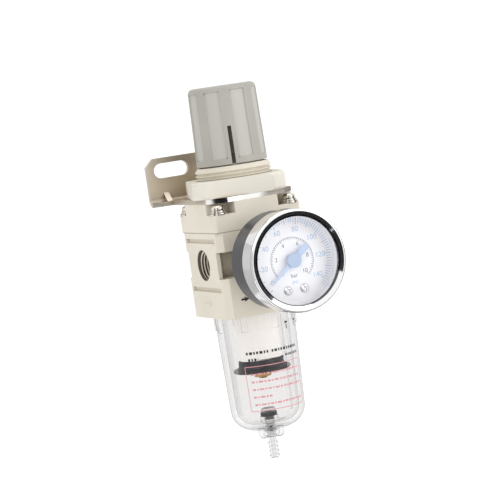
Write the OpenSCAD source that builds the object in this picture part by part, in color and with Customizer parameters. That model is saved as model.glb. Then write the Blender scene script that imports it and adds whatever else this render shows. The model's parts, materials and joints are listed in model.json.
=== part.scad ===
// Modular air filter-regulator with panel thread, angle bracket, dial gauge and clear bowl.
// +Z runs up the knob and bowl axis. The origin is where the port axis crosses that axis.
// The inlet faces -X, the outlet +X, the gauge -Y and the bracket +Y.

/* [Body] */
// Width and depth of the cast body
body_w = 40; // [38:0.5:44]
// Height of the body's top face above the port axis
body_top = 14; // [13.5:0.25:15]
// Distance of the body's bottom face below the port axis
body_drop = 23; // [22.5:0.25:24]
// Radius of the G1/4 ports at the thread's major diameter
port_r = 6.58; // [6.5:0.01:6.6]
// Depth of each G1/4 port
port_depth = 11; // [10:0.5:11]
// Radius of the R1/8 gauge ports
gauge_port_r = 4.9; // [4.86:0.01:4.95]

/* [Bonnet] */
// Height of the bonnet's square base above the port axis
base_top = 26.3; // [26:0.1:27]
// Outside radius of the M33 panel thread
thread_r = 16.5; // [16.4:0.05:16.5]
// Pitch of the panel thread
thread_pitch = 1.5; // [1:0.25:1.5]
// Height of the top of the panel thread
thread_top = 41; // [40.5:0.25:41.2]
// Radius of the neck inside the knob
neck_r = 12.6; // [12.4:0.1:12.6]

/* [Knob] */
// Height of the knob's lower edge above the port axis
knob_bottom = 41.6; // [41.5:0.1:42]
// Height of the knob's top above the port axis
knob_top = 75.2; // [75:0.2:76]
// Radius at the lower edge
knob_r = 15.3; // [15.2:0.1:16]
// Number of recessed grip panels
grip_panels = 8; // [6:1:9]

/* [Bracket] */
// Thickness of the sheet
sheet = 2; // [1.6:0.1:2]
// Width of the mounting flange
flange_w = 56.4; // [55:0.2:58]
// Distance of the mounting face behind the knob axis
flange_y = 32.5; // [31:0.5:34]
// Height of the flange's top edge above the port axis
flange_top = 47.5; // [47:0.5:50]
// Distance between the slot centres
slot_spacing = 33; // [31:0.5:33]
// Width of each slot
slot_w = 6.5; // [6:0.1:6.6]
// End-to-end length of each slot
slot_len = 16.4; // [14:0.2:17]

/* [Bowl] */
// Radius under the shoulder
bowl_r = 17.4; // [17:0.1:17.6]
// Depth of the bowl's bottom below the port axis
bowl_depth = 74.4; // [73.6:0.2:75]
// Distance of the tip of the drain barb below the port axis
barb_depth = 88; // [87:0.5:90]

/* [Gauge] */
// Outside radius of the bezel
bezel_r = 21.4; // [21.2:0.1:21.8]
// Distance of the bezel's front in front of the knob axis
bezel_front = 55.5; // [55.25:0.25:57]
// Outside radius of the case
case_r = 20.6; // [20.4:0.1:20.7]

/* [Adjustment] */
// Lead of the adjusting screw
screw_pitch = 1.5; // [1.25:0.25:1.5]

/* [Hidden] */
$fn = 64;
cut = 0.1; // how far a cutting shape runs past the surface it opens
gap = 0.05; // running clearance on a radius
half_w = body_w / 2;
body_bottom = -body_drop;
screw_xy = 16.6; // offset of the bonnet screws from the axis
pocket_floor = 21.5; // seat of the bonnet screws
screw_bore_r = 2.2; // clearance hole for a bonnet screw
cavity_r = 10.2; // spring chamber in the bonnet
neck_top = 62;
stem_r = 4; // adjusting screw
diaphragm_r = 15.5;
diaphragm_z = 12.6; // underside of the clamped rim
plate_z = body_top; // underside of the diaphragm plate
spring_z0 = 15.6; // lower end of the regulating spring
spring_z1 = 47.9; // upper end of the regulating spring
seat_z = 48; // underside of the spring seat's disc
valve_top = 11.1;
seat_face_z = 1; // face of the valve seat
chamber_r = 7.2; // chamber round the valve guide
bowl_bore_r = 16.4; // bore of the body that takes the bowl's neck
bowl_bore_z = -12; // roof of that bore
bowl_neck_top = -12.3;
element_r = 9.3;
element_bore_r = 6;
element_top = -17.6;
element_bottom = -44;
baffle_rim = -49.2;
drain_r = 2.1; // drain valve inside the bowl's collar
drain_seat_h = 2.5; // height of the packing's seat above the bowl's floor
bowl_wall = 2.5;
drain_seal_z = bowl_wall + drain_seat_h + 0.02 - bowl_depth; // underside of the drain packing
stud_r = 2;
case_back = 31.8; // gauge distances are measured forwards from the knob axis
lens_front = bezel_front - 1.9;
lens_back = lens_front - 1.6;
case_rim = lens_back - 0.4;
dial_back = case_rim - 3.6;
dial_front = dial_back + 0.5;
plate_back = 37.5; // rear plate of the gauge movement
plate_front = 43.6; // front plate of the gauge movement
plate_t = 0.8;
sector_pivot_z = 8.4;
gear_module = 0.2;
pinion_teeth = 12;
sector_teeth = 72; // teeth on a full circle of the sector's size
tail_r = 4.5; // from the sector's pivot to the link pin
tail_angle = 150; // direction of the sector's tail at rest
needle_start = 218; // direction of the needle at rest, seen from the front
nut_turn = -16.5;
slit_turn = -19; // direction of the knob's slit, from the front

// ---------- shared shapes ----------

// Cylinder of radius r between two heights
module post(r, z0, z1) {
    translate([0, 0, z0]) cylinder(r = r, h = z1 - z0);
}

// Ring between two radii and two heights
module tube(r_out, r_in, z0, z1) {
    difference() {
        post(r_out, z0, z1);
        post(r_in, z0 - cut, z1 + cut);
    }
}

// Cone frustum between two heights
module taper(r0, r1, z0, z1) {
    translate([0, 0, z0]) cylinder(r1 = r0, r2 = r1, h = z1 - z0);
}

// Puts a shape's +Z along -Y, which is the way the gauge faces
module facing_front() {
    rotate([90, 0, 0]) children();
}

// Rectangle with rounded corners
module rounded_rect(w, d, r) {
    union() {
        square([w - 2 * r, d], center = true);
        square([w, d - 2 * r], center = true);
        for (x = [-1, 1], y = [-1, 1])
            translate([x * (w / 2 - r), y * (d / 2 - r)]) circle(r = r);
    }
}

module rounded_block(w, d, r, z0, z1) {
    translate([0, 0, z0]) linear_extrude(z1 - z0) rounded_rect(w, d, r);
}

// One copy at each of the four bonnet screws
module at_screws() {
    for (x = [-1, 1], y = [-1, 1])
        translate([x * screw_xy, y * screw_xy, 0]) children();
}

// Rectangle with its corners cut at 45 degrees
module chamfered_rect(w, d, c) {
    polygon([[w / 2 - c, -d / 2], [w / 2, c - d / 2], [w / 2, d / 2 - c], [w / 2 - c, d / 2],
        [c - w / 2, d / 2], [-w / 2, d / 2 - c], [-w / 2, c - d / 2], [c - w / 2, -d / 2]]);
}

// Box between two corners
module box(low, high) {
    translate(low) cube(high - low);
}

// Ring of round section
module o_ring(mean_r, wire_r, z) {
    translate([0, 0, z]) rotate_extrude() translate([mean_r, 0]) circle(r = wire_r, $fn = 32);
}

// Solid with ring ridges for a thread, from z0 to z1
module ridged(r_out, r_root, pitch, z0, z1) {
    count = floor((z1 - z0) / pitch + 0.01);
    crest = pitch / 8;
    rings = [for (i = [0 : count - 1])
        let (z = z0 + i * pitch)
        each [[r_root, z], [r_root, z + crest], [r_out, z + pitch / 2], [r_out, z + pitch / 2 + crest]]];
    rotate_extrude()
        polygon(concat([[0, z0]], rings, [[r_root, z0 + count * pitch], [r_root, z1], [0, z1]]));
}

// Round-wire coil whose ends lie flat inside z0 and z1
module coil(mean_r, wire_r, z0, z1, turns, steps, sides) {
    total = turns * steps;
    rise = z1 - z0 - 2 * wire_r;
    points = [for (i = [0 : total], k = [0 : sides - 1])
        let (turn = 360 * i / steps, around = 360 * k / sides, r = mean_r + wire_r * cos(around))
        [r * cos(turn), r * sin(turn), z0 + wire_r + rise * i / total + wire_r * sin(around)]];
    walls = [for (i = [0 : total - 1], k = [0 : sides - 1])
        let (n = (k + 1) % sides)
        [i * sides + k, (i + 1) * sides + k, (i + 1) * sides + n, i * sides + n]];
    start_cap = [[for (k = [0 : sides - 1]) k]];
    end_cap = [[for (k = [sides - 1 : -1 : 0]) total * sides + k]];
    polyhedron(points = points, faces = concat(start_cap, walls, end_cap), convexity = 10);
}

// Flat gear blank with straight-sided teeth between two angles
module gear_outline(teeth_full, first, last, from_centre) {
    pitch_r = gear_module * teeth_full / 2;
    step = 360 / teeth_full;
    tip_r = pitch_r + 0.8 * gear_module;
    foot_r = pitch_r - 1.1 * gear_module;
    outline = [for (i = [first : last])
        let (a = i * step)
        each [polar(foot_r, a - 0.38 * step), polar(tip_r, a - 0.12 * step),
            polar(tip_r, a + 0.12 * step), polar(foot_r, a + 0.38 * step)]];
    polygon(from_centre ? concat([[0, 0]], outline) : outline);
}

function polar(r, a) = [r * cos(a), r * sin(a)];

// ---------- regulator ----------

module body() {
    corner_cut = 2.6;
    groove_z = 10.5;
    groove_h = 1.9;
    groove_len = 31.6;
    groove_depth = 1.2;
    flange_x = half_w - 1.7; // inner side of the port flange
    flange_half = 15.8; // half of the flange's width at port height
    boss_half = 7.5; // half of the width of the gauge port's boss
    recess_y = 9; // floor of the recesses behind the flange
    recess_h = 5.7; // half of the recess's height
    outlet_z = 2.6;
    outlet_h = 3.2;
    color("ivory") difference() {
        translate([0, 0, body_bottom]) linear_extrude(body_top - body_bottom)
            chamfered_rect(body_w, body_w, corner_cut);
        // ports
        for (side = [-1, 1]) translate([side * (half_w - port_depth), 0, 0])
            rotate([0, side * 90, 0]) cylinder(r = port_r, h = port_depth + cut);
        for (side = [-1, 1]) translate([side * (half_w - 0.2), 0, 0])
            rotate([0, side * 90, 0]) cylinder(r1 = port_r, r2 = port_r + 0.8, h = 0.8);
        for (side = [-1, 1]) translate([0, side * (half_w - 10.5), 0])
            rotate([-side * 90, 0, 0]) cylinder(r = gauge_port_r, h = 10.5 + cut);
        // clamp grooves on the port faces
        for (x = [-1, 1], z = [-1, 1])
            translate([x * half_w, 0, z * groove_z])
                cube([2 * groove_depth, groove_len, groove_h], center = true);
        // recesses between the port flanges and the bosses of the gauge ports
        for (x = [0, 1], y = [0, 1]) mirror([x, 0, 0]) mirror([0, y, 0]) {
            box([boss_half, flange_half, -recess_h], [half_w + 1, half_w + 1, recess_h]);
            box([boss_half, recess_y, -recess_h], [flange_x, half_w, recess_h]);
        }
        // diaphragm chamber, its rim recess and the stem bore
        post(13.2, 7, body_top + cut);
        post(diaphragm_r + gap, diaphragm_z, body_top + cut);
        post(1.5 + gap, 5, 8);
        // outlet chamber above the valve seat, open to the outlet and both gauge ports
        post(7.5, outlet_z, outlet_z + outlet_h);
        translate([5, -4, outlet_z]) cube([5, 8, outlet_h]);
        translate([-1.5, -10.5, outlet_z]) cube([3, 21, 1.8]);
        post(3.6, 0, outlet_z + cut);
        // chamber for the valve and its guide
        post(chamber_r, bowl_bore_z - cut, seat_face_z);
        // inlet passage down to the bowl
        translate([-11.4, 0, 0]) post(3, bowl_bore_z - cut, 0);
        // bore for the bowl
        post(bowl_bore_r, body_bottom - cut, bowl_bore_z);
        taper(bowl_bore_r + 0.6, bowl_bore_r, body_bottom - cut, body_bottom + 0.5);
        // screw holes
        at_screws() post(2.05, 6.5, body_top + cut);
    }
}

module bonnet() {
    pocket_x = 10;
    pocket_y = 8;
    root_r = thread_r - 0.92;
    ridge_count = 9;
    lead_in_z = base_top + (ridge_count - 0.4) * thread_pitch; // just above the last crest
    color("ivory") difference() {
        union() {
            rounded_block(body_w, body_w, 1.2, body_top, base_top);
            ridged(thread_r, root_r, thread_pitch, base_top, base_top + ridge_count * thread_pitch);
            taper(thread_r, thread_r - 1.2, lead_in_z, thread_top);
            post(neck_r, thread_top - 1, neck_top);
            // snap ridge that holds the knob
            rotate_extrude() polygon([[5, 45.6], [neck_r, 45.6], [neck_r + 0.4, 46], [neck_r + 0.4, 46.5],
                [neck_r, 47.2], [5, 47.2]]);
        }
        // spring chamber and diaphragm plate chamber
        post(13.2, body_top - cut, 22);
        post(cavity_r, 20, 58);
        // key grooves for the spring seat
        for (side = [0, 1]) mirror([side, 0, 0]) box([8.6, -1.55, 39], [11.4, 1.55, 58]);
        // stem bore
        post(stem_r + gap, 57, neck_top + cut);
        // screw pockets
        for (x = [-1, 1], y = [-1, 1]) translate([x * half_w, y * half_w, pocket_floor + 5])
            cube([2 * pocket_x, 2 * pocket_y, 10], center = true);
        at_screws() post(screw_bore_r, body_top - cut, pocket_floor + cut);
    }
}

module bonnet_screws() {
    head_z = pocket_floor + 1.7;
    head_r = 2.9;
    color("silver") at_screws() difference() {
        union() {
            post(1.95, 7, head_z + 0.2);
            translate([0, 0, head_z]) rotate_extrude() polygon([[0, 0], [head_r, 0], [head_r, 1.3],
                [head_r - 0.4, 1.9], [head_r - 1.2, 2.3], [0, 2.5]]);
        }
        for (a = [45, 135]) rotate(a) translate([0, 0, head_z + 2.1]) cube([3.4, 0.7, 1.8], center = true);
    }
}

module screw_washers() {
    color("silver") at_screws() {
        tube(3.9, 2.05, pocket_floor, pocket_floor + 0.7);
        // spring washer, with its cut
        difference() {
            tube(3.3, 2.05, pocket_floor + 0.75, pocket_floor + 1.65);
            translate([2.7, 0, pocket_floor + 1.2]) rotate([30, 0, 0]) cube([2.8, 0.4, 3], center = true);
        }
    }
}

module panel_nut() {
    z0 = base_top + sheet;
    z1 = z0 + 7.5;
    corner_cut = 5.2;
    chamfer = 1.4;
    color("ivory") rotate(nut_turn) intersection() {
        translate([0, 0, z0]) linear_extrude(z1 - z0) difference() {
            rounded_rect(body_w, body_w, 1);
            for (a = [45 : 90 : 315]) rotate(a)
                translate([half_w * sqrt(2) - corner_cut / sqrt(2), -10]) square([10, 20]);
            circle(r = thread_r + gap);
        }
        rotate_extrude() polygon([[10, z0], [25 - chamfer, z0], [25, z0 + chamfer], [25, z1 - chamfer],
            [25 - chamfer, z1], [10, z1]]);
    }
}

module bracket() {
    bend = 1.5;
    bend_y = flange_y - bend - sheet;
    bend_z = base_top + sheet + bend;
    front_cut = 7.2;
    taper_y = bend_y - 3; // where the sheet widens towards the flange
    top_cut = 3.3;
    slot_z = 41.8;
    dimple_x = 20.5;
    dimple_w = 2.4;
    dimple_leg = 2.4;
    color("silver") difference() {
        union() {
            // stiffening dimples pressed into the bend
            for (side = [-1, 1]) translate([side * dimple_x - dimple_w / 2, 0, 0])
                rotate([90, 0, 90]) linear_extrude(dimple_w)
                polygon([[bend_y - dimple_leg, bend_z - bend - cut], [bend_y + bend + cut, bend_z - bend - cut],
                    [bend_y + bend + cut, bend_z + dimple_leg]]);
            intersection() {
                // sheet profile seen from the side, swept along X
                rotate([90, 0, 90]) translate([0, 0, -flange_w / 2]) linear_extrude(flange_w) union() {
                    translate([-half_w, base_top]) square([bend_y + half_w, sheet]);
                    translate([flange_y - sheet, bend_z]) square([sheet, flange_top - bend_z]);
                    intersection() {
                        translate([bend_y, bend_z]) difference() {
                            circle(r = bend + sheet);
                            circle(r = bend);
                        }
                        translate([bend_y, base_top]) square([bend + sheet, bend + sheet]);
                    }
                }
                // outline seen from above
                linear_extrude(60) polygon([[-half_w + front_cut, -half_w], [half_w - front_cut, -half_w],
                    [half_w, -half_w + front_cut], [half_w, taper_y], [flange_w / 2, bend_y],
                    [flange_w / 2, 40], [-flange_w / 2, 40], [-flange_w / 2, bend_y],
                    [-half_w, taper_y], [-half_w, -half_w + front_cut]]);
                // outline seen from behind
                rotate([90, 0, 0]) translate([0, 0, -60]) linear_extrude(120)
                    polygon([[-flange_w / 2, 20], [flange_w / 2, 20], [flange_w / 2, flange_top - top_cut],
                        [flange_w / 2 - top_cut, flange_top], [top_cut - flange_w / 2, flange_top],
                        [-flange_w / 2, flange_top - top_cut]]);
            }
        }
        post(thread_r + 0.25, 20, 40);
        for (side = [-1, 1]) translate([side * slot_spacing / 2, 40, slot_z]) rotate([90, 0, 0]) {
            for (end = [-1, 1]) translate([end * (slot_len - slot_w) / 2, 0, 0])
                cylinder(r = slot_w / 2, h = 20);
            translate([0, 0, 10]) cube([slot_len - slot_w, slot_w, 20], center = true);
        }
    }
}

module knob() {
    draft = 0.7;
    panel_angle = 25;
    panel_depth = 0.55;
    panel_z0 = knob_bottom + 2.5;
    panel_z1 = knob_top - 2.4;
    inner_r = 13.1;
    roof = 72;
    edge = 1.9;
    wall_drop = draft / (knob_top - knob_bottom);
    function wall(z) = knob_r - wall_drop * (z - knob_bottom);
    color("lightgray") difference() {
        rotate_extrude() polygon([[0, knob_bottom], [knob_r, knob_bottom],
            [wall(knob_top - edge), knob_top - edge], [wall(knob_top) - 0.6, knob_top - 0.6],
            [wall(knob_top) - edge, knob_top], [0, knob_top]]);
        // cavity round the neck, with an inward lip at the bottom
        difference() {
            union() {
                post(neck_r + 0.1, knob_bottom - cut, 44);
                post(inner_r, knob_bottom + 1.4, roof);
            }
            post(6.5, neck_top + 1, roof + cut);
        }
        // hexagonal socket for the adjusting screw
        translate([0, 0, neck_top + 0.9]) cylinder(r = 4.03, h = roof + cut - neck_top - 0.9, $fn = 6);
        // grip panels
        for (i = [0 : grip_panels - 1])
            rotate(slit_turn - 90 + (i + 0.5) * 360 / grip_panels - panel_angle / 2)
            rotate_extrude(angle = panel_angle)
                polygon([[wall(panel_z0) - panel_depth, panel_z0], [knob_r + 1, panel_z0],
                    [knob_r + 1, panel_z1], [wall(panel_z1) - panel_depth, panel_z1]]);
        // slit in one rib, open at the bottom
        rotate(slit_turn) box([-0.8, -knob_r - 1, knob_bottom - cut], [0.8, 3 - knob_r, knob_bottom + 16.2]);
    }
}

module adjusting_screw() {
    root_r = stem_r - 0.75;
    color("darkgray") union() {
        ridged(stem_r, root_r, screw_pitch, 33, 54);
        post(root_r, 32, 55);
        post(7, 54.9, 57.35);
        post(stem_r, 57, neck_top + 0.3);
        translate([0, 0, neck_top]) cylinder(r = 3.95, h = 8.5, $fn = 6);
    }
}

module thrust_washer() {
    color("white") tube(7, stem_r + 0.1, 57.4, 57.98);
}

module spring_seat() {
    color("goldenrod") difference() {
        union() {
            post(cavity_r - 0.1, seat_z, seat_z + 3);
            post(6.2, seat_z - 1.5, seat_z + 0.1);
            post(6, seat_z + 2.9, seat_z + 6);
            for (side = [-1, 1]) translate([side * 10, 0, seat_z + 1.5]) cube([2.2, 2.9, 3], center = true);
        }
        post(stem_r + gap, seat_z - 2, seat_z + 7);
    }
}

module main_spring() {
    color("gray") coil(7.8, 1.15, spring_z0 + 0.05, spring_z1, 7, 24, 8);
}

module diaphragm_plate() {
    color("silver") difference() {
        union() {
            post(9.2, plate_z + 0.02, spring_z0);
            post(6.2, spring_z0 - 0.1, spring_z0 + 2);
        }
        post(2.9 + gap, plate_z - cut, spring_z0 + 0.4);
        post(1, plate_z, spring_z0 + 3);
    }
}

module diaphragm() {
    rim_r = 13.2;
    fold = 1.2; // height of the fold between the plate and the rim
    color("#303030") rotate_extrude() polygon([[3, diaphragm_z], [9.8, diaphragm_z],
        [10.6, diaphragm_z + fold], [12.2, diaphragm_z + fold], [rim_r, diaphragm_z],
        [diaphragm_r, diaphragm_z], [diaphragm_r, body_top], [rim_r - 0.3, body_top],
        [12.6, body_top + fold], [10.2, body_top + fold], [9.4, body_top], [3, body_top]]);
}

module relief_seat() {
    color("goldenrod") difference() {
        union() {
            post(5.5, valve_top + 0.05, diaphragm_z - 0.02);
            post(2.9, diaphragm_z - 0.1, spring_z0 + 0.35);
        }
        post(1, valve_top - cut, spring_z0 + 1);
    }
}

module valve() {
    color("#404040") union() {
        post(1.5, 0, valve_top);
        post(5.3, seat_face_z - 2.2, seat_face_z - 0.02);
        post(1.8, -11.2, 0);
    }
}

module valve_spring() {
    color("silver") coil(3.2, 0.4, -9.95, seat_face_z - 2.25, 6, 20, 6);
}

module valve_guide() {
    flange_z = bowl_bore_z - 0.02;
    color("#505050") difference() {
        union() {
            post(9, -16, flange_z);
            post(chamber_r - gap, flange_z - 0.1, -5);
        }
        post(4.1, -10, -4);
        post(1.85, -12.8, -9.9);
        post(stud_r + gap, -16 - cut, -13.6);
        for (i = [0 : 5]) rotate(60 * i + 30) translate([3.05, 0, 0]) post(0.75, -17, -9.9);
        tube(chamber_r + 1, 6.1, -9.6, -8);
    }
}

module guide_seal() {
    color("#303030") o_ring(6.63, 0.5, -8.8);
}

module centre_stud() {
    color("goldenrod") ridged(stud_r, stud_r - 0.35, 0.7, baffle_rim - 3.4, -13.7);
}

module deflector() {
    color("#404040") difference() {
        union() {
            tube(13.6, 4.4, element_top + 0.05, -16.05);
            for (i = [0 : 11]) rotate(30 * i) translate([11.9, 0, -19.3]) rotate([25, 0, 0])
                cube([3.2, 1, 4.4], center = true);
        }
        post(20, -16.05, -10);
    }
}

module filter_element() {
    color("white") tube(element_r, element_bore_r, element_bottom, element_top);
}

module baffle() {
    top = element_bottom - 0.02;
    rim = baffle_rim;
    color("#202020") difference() {
        rotate_extrude() polygon([[0, top], [9.4, top], [9.8, top - 0.4], [9.9, rim + 2.6], [10.5, rim + 1.7],
            [12.1, rim + 1.3], [12.5, rim + 0.9], [12.5, rim + 0.4], [12.1, rim], [10.4, rim + 0.2],
            [9, rim + 1.4], [8.6, rim + 2.6], [8.6, top - 1.6], [4.5, top - 1.6], [4.5, rim], [0, rim]]);
        post(stud_r + gap, -55, -40);
    }
}

module element_nut() {
    color("goldenrod") difference() {
        translate([0, 0, baffle_rim - 2.6]) cylinder(r = 4.04, h = 2.55, $fn = 6);
        post(stud_r + gap, baffle_rim - 3, baffle_rim);
    }
}

// ---------- bowl and drain ----------

module bowl() {
    shoulder = body_bottom - 0.1;
    bottom = -bowl_depth;
    corner = 9;
    low_r = 16.2;
    collar_r = drain_r + 0.9;
    tab_turn = 6;
    wall = bowl_wall;
    corner_z = bottom + corner;
    // outside and inside quarter rounds at the bottom
    outer_round = [for (a = [0 : 15 : 90]) [low_r - corner + corner * cos(a), corner_z - corner * sin(a)]];
    inner_round = [for (a = [90 : -15 : 0])
        [low_r - corner + (corner - wall) * cos(a), corner_z - (corner - wall) * sin(a)]];
    neck = bowl_bore_r - 0.1;
    color("lightcyan", 0.4) difference() {
        union() {
            rotate_extrude() polygon(concat(
                [[14.1, bowl_neck_top], [neck, bowl_neck_top], [neck, shoulder], [bowl_r, shoulder]],
                outer_round, [[0, bottom]], [[0, bottom + wall]], inner_round, [[14.4, -26]]));
            // grip tabs under the shoulder
            for (i = [0 : 7]) rotate(tab_turn + 45 * i)
                box([bowl_r - 0.9, -1.4, shoulder - 6.8], [bowl_r + 0.9, 1.4, shoulder]);
            // collar that the drain knob turns on
            post(collar_r, bottom - 1.5, bottom + 0.1);
            // raised seat for the drain packing
            post(4, bottom + wall - 0.1, bottom + wall + drain_seat_h);
        }
        post(drain_r + 0.1, bottom - 2, bottom + wall + drain_seat_h + cut);
        tube(neck + 1, 15.2, -16.9, -15.1);
    }
}

module bowl_seal() {
    color("#303030") o_ring(15.78, 0.55, -16);
}

module drain_valve() {
    ridges = 4;
    pitch = 1.9;
    stem = 1.7;
    color("lightcyan", 0.6) difference() {
        union() {
            post(drain_r, -bowl_depth - 1.4, drain_seal_z + 1.8);
            // head over the packing
            taper(3.3, 2.8, drain_seal_z + 1.75, drain_seal_z + 3.4);
            post(stem, 0.4 - barb_depth, -bowl_depth);
            // hose ridges, each a short cone that widens upwards
            for (i = [0 : ridges - 1]) taper(stem, 2.2, i * pitch - barb_depth, i * pitch + 1.2 - barb_depth);
        }
        post(0.9, -barb_depth - cut, 1 - bowl_depth);
        translate([0, 0, 1 - bowl_depth]) cube([10, 1.2, 1.2], center = true);
    }
}

module drain_seal() {
    color("#181818") tube(3.6, drain_r + gap, drain_seal_z, drain_seal_z + 1.7);
}

module drain_knob() {
    z1 = -bowl_depth - 0.15;
    z0 = z1 - 4.4;
    wing_r = 2.1;
    wing_turn = -20;
    collar_r = drain_r + 0.9;
    color("lightcyan", 0.6) rotate(wing_turn) difference() {
        union() {
            post(collar_r + 0.8, z0 + 0.6, z1);
            for (side = [-1, 1]) {
                translate([side * 3.4, 0, z0 + wing_r]) rotate([90, 0, 0])
                    cylinder(r = wing_r, h = 2.4, center = true);
                translate([side * 3.4, 0, (z0 + wing_r + z1) / 2])
                    cube([2 * wing_r, 2.4, z1 - z0 - wing_r], center = true);
            }
        }
        // stem, bowl collar and the collar of the valve
        post(1.8, z0 - cut, z1 + cut);
        post(drain_r + 0.1, -bowl_depth - 2.6, z1 + cut);
        post(collar_r + gap, -bowl_depth - 1.6, z1 + cut);
    }
}

module rear_plug() {
    color("dimgray") difference() {
        facing_front() post(gauge_port_r - gap, -half_w + 0.2, -half_w + 7.5);
        facing_front() translate([0, 0, -half_w]) cylinder(r = 2.9, h = 4, $fn = 6);
    }
}

// ---------- gauge ----------

module gauge_socket() {
    arm_back = plate_back - 3;
    color("goldenrod") difference() {
        facing_front() union() {
            post(gauge_port_r - gap, 12, half_w + 0.3);
            slab(half_w + 0.2, case_back - gap) square([10, 10], center = true);
            post(4, case_back - 0.1, plate_back);
            // arm down to the tube's root and the dial's mounting block
            slab(arm_back, plate_back - 0.5) translate([-3, -12]) square([6, 12]);
            slab(arm_back, dial_back) translate([-5.5, -15]) square([11, 5.4]);
        }
        facing_front() post(1.2, 11, plate_back - 1.5);
        at_dial_screws() post(0.85, plate_front, dial_back + cut);
    }
}

// Vertical extrusion between two heights
module slab(z0, z1) {
    translate([0, 0, z0]) linear_extrude(z1 - z0) children();
}

// One copy at each dial screw, with +Z towards the front
module at_dial_screws() {
    for (side = [-1, 1]) facing_front() translate([side * 3.7, -12.1, 0]) children();
}

module gauge_case() {
    wall = 0.9;
    color("#484848") facing_front() difference() {
        rotate_extrude() polygon([[0, case_back], [case_r - 1.2, case_back], [case_r, case_back + 1.2],
            [case_r, case_rim], [0, case_rim]]);
        post(case_r - wall, case_back + 1.2, case_rim + cut);
        post(4 + gap, 30, 35);
    }
}

module gauge_bezel() {
    back = bezel_front - 9.5;
    lip_r = 18.2;
    rim_r = 20.3; // inner edge of the flat rim; a shallow polished cone runs from it down to the lip
    cone_depth = 0.8;
    color("silver") facing_front() rotate_extrude() polygon([[case_r + gap, back], [bezel_r - 0.3, back],
        [bezel_r, back + 0.4], [bezel_r, bezel_front - 1.1], [bezel_r - 0.2, bezel_front - 0.5],
        [bezel_r - 0.6, bezel_front - 0.1], [rim_r + 0.6, bezel_front], [rim_r, bezel_front],
        [lip_r, bezel_front - cone_depth], [lip_r, lens_front + gap], [case_r + gap, lens_front + gap]]);
}

module lens_gasket() {
    color("#202020") facing_front() tube(case_r, case_r - 0.9, case_rim + 0.02, lens_back - 0.02);
}

module gauge_lens() {
    color("white", 0.3) facing_front() post(case_r, lens_back, lens_front);
}

// Dial with a raised rim that reaches almost to the window
module gauge_dial() {
    r = case_r - 1.1;
    rim = 0.5;
    color("white") facing_front() difference() {
        post(r, dial_back + 0.02, case_rim - 0.1);
        post(r - rim, dial_front, case_rim + cut);
        post(1.2, dial_back - cut, dial_front + cut);
        for (side = [-1, 1]) translate([side * 3.7, -12.1, 0]) post(0.95, dial_back - cut, dial_front + cut);
    }
}

module dial_screws() {
    head = dial_front + 0.02;
    color("silver") at_dial_screws() difference() {
        union() {
            post(0.8, plate_front, head + 0.1);
            translate([0, 0, head]) rotate_extrude()
                polygon([[0, 0], [1.8, 0], [1.8, 0.35], [1.3, 0.75], [0, 0.8]]);
        }
        for (a = [30, 120]) rotate(a) translate([0, 0, head + 0.7]) cube([2.2, 0.5, 0.6], center = true);
    }
}

module bourdon_tube() {
    mean_r = 14.6;
    back = 35;
    depth = 4.4;
    // from the right side of the socket's block, counter-clockwise seen from the front
    color("darkgoldenrod") facing_front() union() {
        rotate(-66) rotate_extrude(angle = 206) translate([mean_r - 0.9, back]) square([1.8, depth]);
        translate([5.52, -14.9, back]) cube([1.6, 3.6, depth]);
        // tip lug
        rotate(140) translate([mean_r - 2.2, -1.2, back + 1.8]) cube([1.4, 2.4, 1.6]);
    }
}

module movement_frame() {
    pillar_places = [[-4.3, -3.8], [4.3, -3.8], [4.2, 10.7]];
    color("goldenrod") facing_front() difference() {
        union() {
            for (y = [plate_back + gap, plate_front]) slab(y, y + plate_t)
                translate([-5.6, -5.2]) square([11.2, 17.2]);
            for (p = pillar_places) translate(p) post(1.1, plate_back + 0.5, plate_front + 0.4);
        }
        post(0.65, plate_back - 1, plate_front + 2);
        translate([0, sector_pivot_z, 0]) post(0.65, plate_back - 1, plate_front + 2);
    }
}

module sector_gear() {
    y0 = 40.4; // back of the toothed plate
    pin = concat(polar(tail_r, tail_angle), [0]);
    color("goldenrod") facing_front() translate([0, sector_pivot_z, 0]) {
        // toothed part: at rest its last teeth are in mesh, below the pivot
        slab(y0, y0 + 0.7) gear_outline(sector_teeth, -28, -17, true);
        post(0.6, plate_back + 0.1, plate_front + plate_t - 0.1);
        post(1.3, y0 - 0.2, y0 + 1.2);
        // tail with the link pin
        rotate(tail_angle) translate([0, -0.7, y0 + gap]) cube([tail_r, 1.4, 0.6]);
        translate(pin) post(0.9, y0, y0 + 0.7);
        translate(pin) post(0.35, y0 - 1.1, y0 + 0.1);
    }
}

module movement_link() {
    length = 6.6;
    half = 0.45;
    y0 = 39.6;
    color("goldenrod") facing_front() translate([0, sector_pivot_z, 0])
        translate(concat(polar(tail_r, tail_angle), [0])) rotate(190) difference() {
            slab(y0, y0 + 0.6) union() {
                translate([0, -half]) square([length, 2 * half]);
                for (x = [0, length]) translate([x, 0]) circle(r = 0.85);
            }
            for (x = [0, length]) translate([x, 0, 0]) post(0.4, y0 - 1, y0 + 1);
        }
}

module pinion() {
    color("goldenrod") facing_front() {
        slab(40, 41.4) gear_outline(pinion_teeth, 0.5, pinion_teeth - 0.5, false);
        post(0.6, plate_back + 0.1, dial_front + 1.2);
    }
}

module needle() {
    tip = 14;
    tail = 8.3;
    back = dial_front + 1.25;
    hub_h = 1.7;
    blade = back + 0.4;
    color("deepskyblue") facing_front() rotate(needle_start) union() {
        post(3, back, back + hub_h);
        slab(blade, blade + 0.4) polygon([[0, -1.1], [tip - 1.2, -0.35], [tip, 0], [tip - 1.2, 0.35],
            [0, 1.1], [-tail, 1.45], [-tail, -1.45]]);
    }
}

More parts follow.
